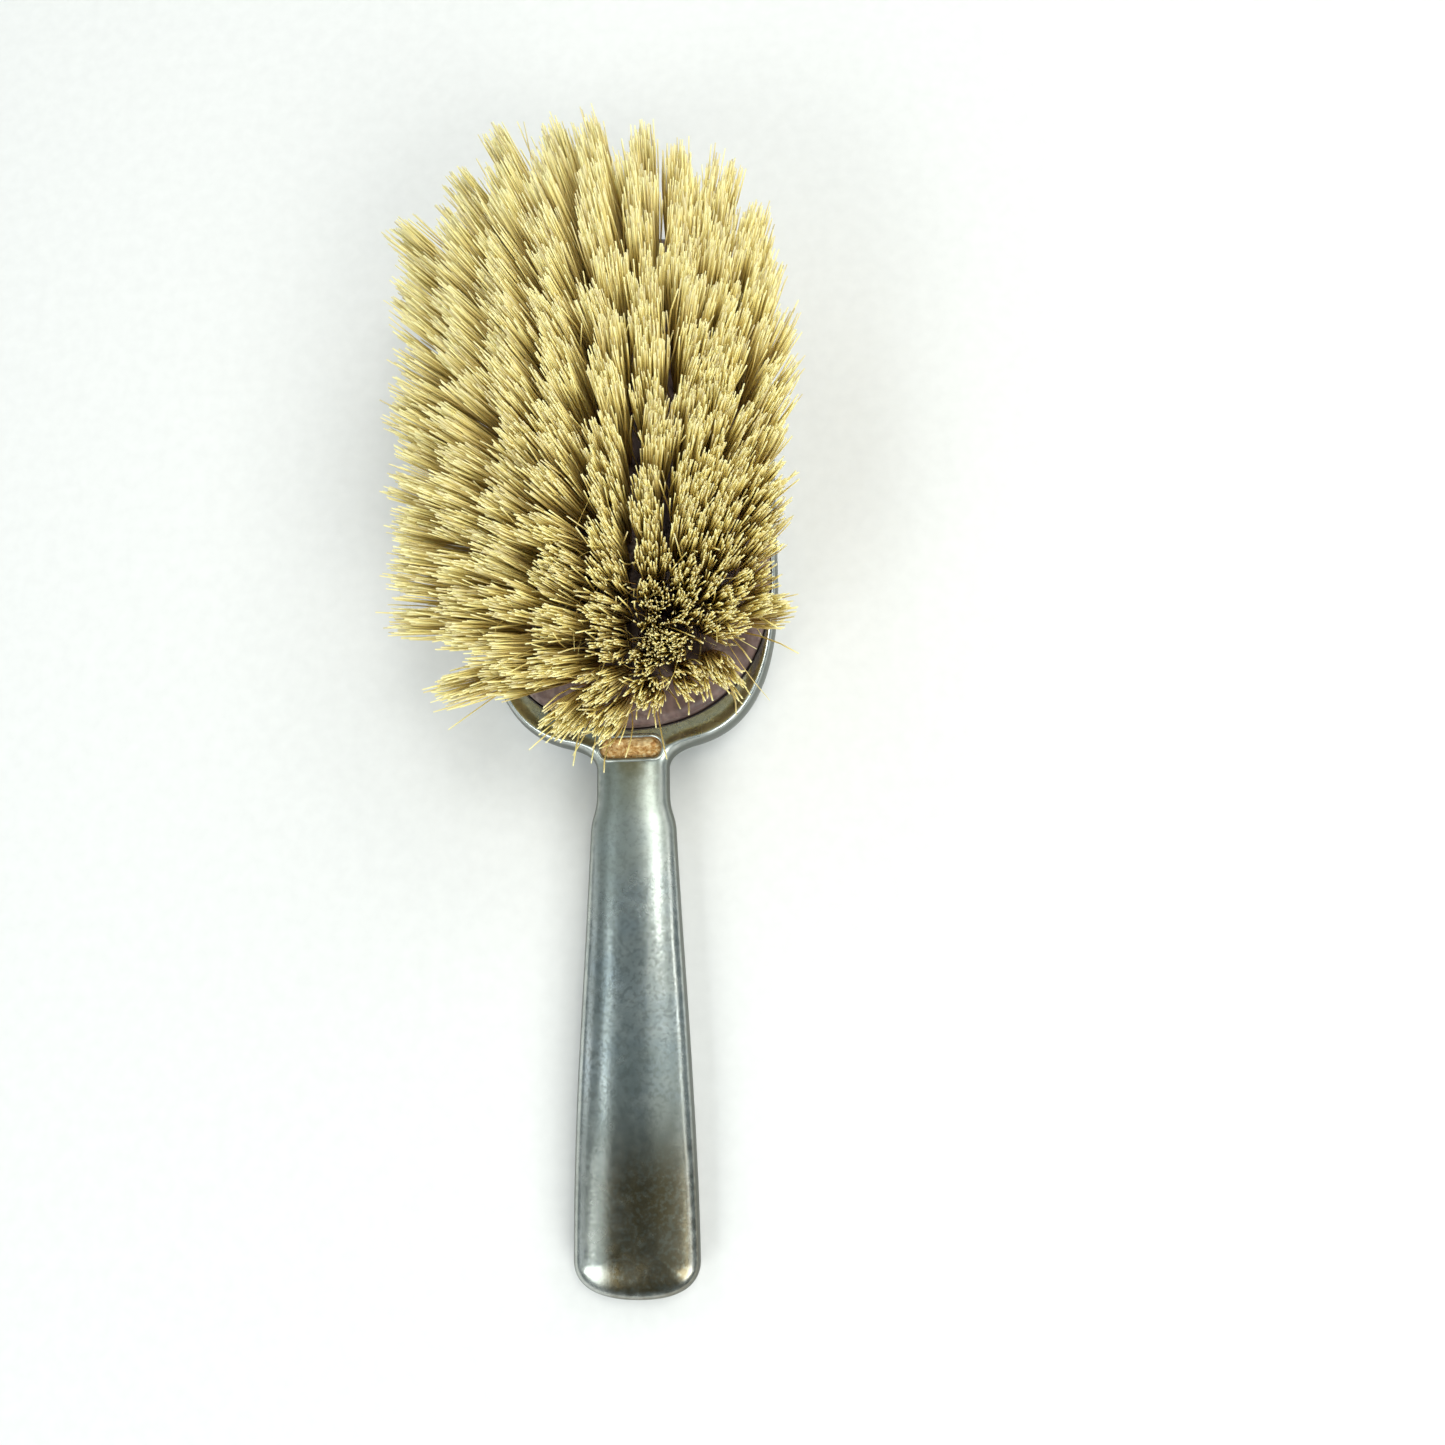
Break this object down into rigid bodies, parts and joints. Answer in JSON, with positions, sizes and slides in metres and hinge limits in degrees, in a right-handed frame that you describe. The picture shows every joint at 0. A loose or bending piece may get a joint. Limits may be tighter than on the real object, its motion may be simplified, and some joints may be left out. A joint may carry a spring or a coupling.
{
  "type": "vanity hairbrush",
  "caption": "Oblong silver-backed vanity hairbrush with a waisted neck, a filled tapering handle, a domed wooden stock and lengthwise rows of splayed natural-bristle tufts.",
  "frame": {"origin": "centre of the flat back of the head, on the surface that the brush rests on", "axes": "+Z out of the bristle side, +Y along the brush from the handle to the head, +X across the head"},
  "size_m": [0.0784, 0.2382, 0.0448],
  "materials": {
    "silver": "worn silver with cloudy grey-green tarnish, brown towards the end of the handle",
    "pitch": "crumbly golden-brown resin filler, matte",
    "iron": "plain dark iron rod",
    "cement": "matte grey-buff bedding cement",
    "board_wood": "unfinished thin board",
    "stock_wood": "dark reddish-brown wood, dull and slightly dusty",
    "wire": "soft drawn brass wire, dulled",
    "bristle": "pale cream natural bristle with a soft sheen"
  },
  "bodies": {
    "root": {"back_shell": "silver", "front_shell": "silver", "handle_filler": "pitch", "slot_filler": "pitch", "handle_rod": "iron", "head_bedding": "cement", "stock_backing": "board_wood", "bristle_stock": "stock_wood", "draw_wire_01": "wire", "draw_wire_02": "wire", "draw_wire_03": "wire", "draw_wire_04": "wire", "draw_wire_05": "wire", "draw_wire_06": "wire", "draw_wire_07": "wire", "draw_wire_08": "wire", "draw_wire_09": "wire", "bristle_row_01": "bristle", "bristle_row_02": "bristle", "bristle_row_03": "bristle", "bristle_row_04": "bristle", "bristle_row_05": "bristle", "bristle_row_06": "bristle", "bristle_row_07": "bristle", "bristle_row_08": "bristle", "bristle_row_09": "bristle"}
  },
  "joints": []
}
